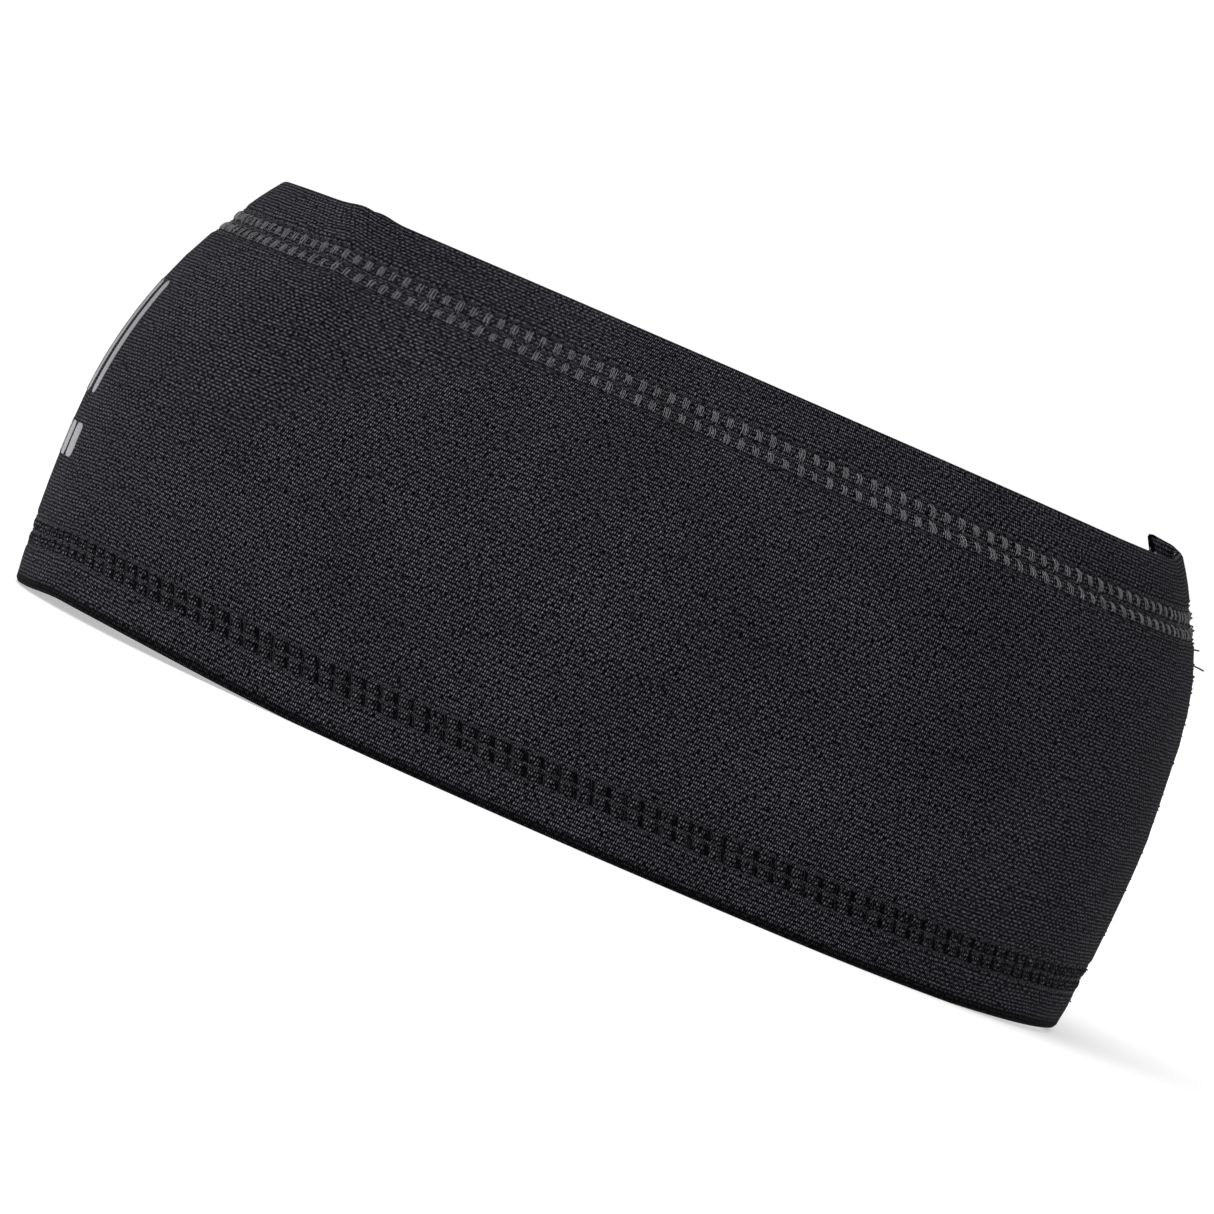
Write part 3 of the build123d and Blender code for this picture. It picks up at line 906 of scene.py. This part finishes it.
needle_and_tails = list(seam_needle_paths()) + list(tail_paths())
inner_loops = seam_looper_paths(0.0, -1.0)
outer_loops = seam_looper_paths(FLAT_ROUND, 1.0)
seam_pieces = (
    ("seam_needle_stitches", needle_and_tails, SEAM_THREAD, needle_finish, "sewing_thread"),
    ("seam_inner_loops", inner_loops, SEAM_LOOPER, dark_finish, "textured_thread"),
    ("seam_outer_loops", outer_loops, SEAM_LOOPER, dark_finish, "textured_thread"),
)
seam_nodes = (
    ["seam_needle_thread_1", "seam_needle_thread_2"],
    ["seam_inner_looper_thread"],
    ["seam_outer_looper_thread"],
)
for (name, paths, radius, finish, slot), nodes in zip(seam_pieces, seam_nodes):
    finished_piece(name, thread_mesh(name, paths, radius), finish, slot, nodes)

# %% [markdown]
# ## Reflective print and care label
# The print is a film pressed on the cloth, so it is cut flat, with rounded ends, and laid on the
# forehead through the same formula. The care label is a short satin ribbon caught in the seam.


# %% Cut rounded shapes from a flat sheet
def cut_patch(width, height, corner, cuts_across, cuts_up):
    """A flat rectangle with round corners, cut up finely enough to bend, in millimetres."""
    patch = bmesh.new()
    bmesh.ops.create_grid(patch, x_segments=1, y_segments=1, size=0.5)
    bmesh.ops.scale(patch, vec=(width, height, 1), verts=patch.verts)
    bmesh.ops.bevel(
        patch,
        geom=list(patch.verts),
        offset=corner,
        segments=6,
        profile=0.5,
        affect="VERTICES",
        material=-1,
    )
    for axis, size, cuts in ((0, width, cuts_across), (1, height, cuts_up)):
        for place in np.linspace(-size / 2, size / 2, cuts + 2)[1:-1]:
            plane = Vector((place, 0, 0)) if axis == 0 else Vector((0, place, 0))
            normal = Vector((1, 0, 0)) if axis == 0 else Vector((0, 1, 0))
            geometry = patch.verts[:] + patch.edges[:] + patch.faces[:]
            bmesh.ops.bisect_plane(patch, geom=geometry, dist=1e-6, plane_co=plane, plane_no=normal)
    return patch


# %% Lay a row of patches on the forehead
FILM = 0.12  # thickness of the film
CUTS, CUT_PITCH = 3, 2.0  # a patch has at least this many cuts, and upwards one every pitch
STRETCH = PLAN_LENGTH / FLAT_ROUND  # the worn round against the flat one
BARS = {"count": 6, "pitch": 6.6, "width": 3.0, "height": 24.0, "level": 49.0, "corner": 1.4}
BLOCKS = {"count": 7, "pitch": 6.1, "width": 4.4, "height": 6.5, "level": 28.0, "corner": 1.2}


def level_run(level):
    """The run of a level on the wall."""
    radius = UPPER_RADIUS if level > WIDEST_HEIGHT else LOWER_RADIUS
    return radius * math.asin((level - WIDEST_HEIGHT) / radius)


def film_mesh(name, count, pitch, width, height, level, corner):
    """A row of alike patches about the middle of the forehead."""
    whole = bmesh.new()
    for number in range(count):
        patch = cut_patch(width, height, corner, CUTS, max(CUTS, round(height / CUT_PITCH)))
        middle = (number - (count - 1) / 2) * pitch
        bmesh.ops.translate(patch, vec=(middle, 0, 0), verts=patch.verts)
        mesh = bpy.data.meshes.new("patch")
        patch.to_mesh(mesh)
        patch.free()
        whole.from_mesh(mesh)
        bpy.data.meshes.remove(mesh)
    mesh = bpy.data.meshes.new(name)
    whole.to_mesh(mesh)
    whole.free()
    places = np.empty(len(mesh.vertices) * 3)
    mesh.vertices.foreach_get("co", places)
    places = places.reshape(-1, 3)
    around = FLAT_ROUND / 2 + places[:, 0] / STRETCH
    across = level_run(level) + places[:, 1]
    lift = np.full_like(around, HALF + FILM / 2)
    shape_mesh(mesh, band_point(around, across, lift), around, across)
    return mesh


for name, row in (("reflective_bars", BARS), ("reflective_blocks", BLOCKS)):
    mesh = film_mesh(name, **row)
    piece = finished_piece(f"printed_{name}", mesh, film, "reflective_film", [name])
    thicken(piece, "film thickness", FILM)
    piece.modifiers.new("flat face, crisp edge", "WEIGHTED_NORMAL")

# %% The care label, caught in the seam inside the band
LABEL_WIDTH, LABEL_HEIGHT, LABEL_LEVEL, LABEL_THICKNESS = 15.0, 30.0, 42.0, 0.4
LABEL_START = 0.6  # it leaves the seam this far from the seam line
LABEL_CURL = 1.1  # its free end bends this far away from the wall
LABEL_GAP = 0.25  # its gap to the wall is this much wider than a hem's
label_mesh, label_along, label_up = flat_grid(20, 24)
label_around = (LABEL_START + label_along * LABEL_WIDTH) / STRETCH
label_run = level_run(LABEL_LEVEL) + (label_up - 0.5) * LABEL_HEIGHT
curl = LABEL_CURL * label_along**2 + 0.25 * np.sin(3 * label_up) * label_along
label_depth = CLOTH + HEM_GAP + LABEL_THICKNESS / 2 + LABEL_GAP + curl
label_points = ring_point(label_around, label_run, label_depth)
shape_mesh(label_mesh, label_points, label_along * LABEL_WIDTH, label_up * LABEL_HEIGHT)
label = finished_piece("satin_care_label", label_mesh, satin, "label_satin", ["care_label"])
thicken(label, "ribbon thickness", LABEL_THICKNESS)

# %% [markdown]
# ## Camera, floor and light
# A long lens looks from the wearer's left, nearly level, with the camera rolled so that the forehead
# end stands high. The floor and the surroundings are a bright, even white. One large soft light stands
# to the front, and a wide, even one comes from above.

# %% Camera
DISTANCE = 1.52  # in metres
ELEVATION, ROLL = 1.8, 23.5  # in degrees
LENS = 252.9
target = Vector((-2.4, 0, 37.5)) * MM
rise = math.radians(ELEVATION)
away = Vector((0, -math.cos(rise), math.sin(rise)))
camera = new_object("camera", bpy.data.cameras.new("camera"))
camera.data.lens = LENS
camera.data.clip_start = 0.01
camera.location = target + away * DISTANCE
facing = (-away).to_track_quat("-Z", "Y").to_matrix().to_4x4()
camera.matrix_world = (
    Matrix.Translation(camera.location) @ facing @ Matrix.Rotation(math.radians(ROLL), 4, "Z")
)
bpy.context.scene.camera = camera

# %% Floor and surroundings
FLOOR_REACH = 6  # metres to each side
floor_mesh = bpy.data.meshes.new("studio_floor")
floor_grid = bmesh.new()
bmesh.ops.create_grid(floor_grid, x_segments=1, y_segments=1, size=FLOOR_REACH)
floor_grid.to_mesh(floor_mesh)
floor_grid.free()
floor = new_object("studio_floor", floor_mesh)
pale = bpy.data.materials.new("pale_floor")
pale.use_nodes = True
pale_shader = pale.node_tree.nodes["Principled BSDF"]
pale_shader.inputs["Base Color"].default_value = (0.7, 0.7, 0.7, 1)
pale_shader.inputs["Roughness"].default_value = 0.9
pale_shader.inputs["Emission Color"].default_value = (1, 1, 1, 1)
pale_shader.inputs["Emission Strength"].default_value = 0.4
floor_mesh.materials.append(pale)

world = bpy.data.worlds.new("studio")
world.use_nodes = True
LIT_BY_ROOM, SEEN_ROOM = 0.45, 1.02  # how bright the room is to the band, and to look at
seen = add_node(world.node_tree, "ShaderNodeLightPath").outputs["Is Camera Ray"]
room = between(world.node_tree, seen, 0, 1, LIT_BY_ROOM, SEEN_ROOM)
world.node_tree.links.new(room, world.node_tree.nodes["Background"].inputs[1])
world.node_tree.nodes["Background"].inputs[0].default_value = (1, 1, 1, 1)
bpy.context.scene.world = world
bpy.context.scene.view_settings.view_transform = "Standard"

# %% Soft light to the front, pointed at the band
FRONT_PLACE = Vector((-1.9, -1.3, 1.1))  # metres
FRONT_SIZE, FRONT_POWER = 2.4, 30  # metres, watts
front_light = bpy.data.lights.new("front_light", "AREA")
front_light.size = FRONT_SIZE
front_light.energy = FRONT_POWER
front_holder = new_object("front_light", front_light)
front_holder.location = FRONT_PLACE
front_holder.rotation_euler = (target - FRONT_PLACE).to_track_quat("-Z", "Y").to_euler()

# %% Even light from above
SKY_POWER, SKY_SPREAD, SKY_TILT = 2.6, 100, 38  # the last two in degrees
sky = bpy.data.lights.new("even_top_light", "SUN")
sky.energy = SKY_POWER
sky.angle = math.radians(SKY_SPREAD)
sky_holder = new_object("even_top_light", sky)
sky_holder.rotation_euler = (math.radians(SKY_TILT), 0, math.radians(-SKY_TILT))
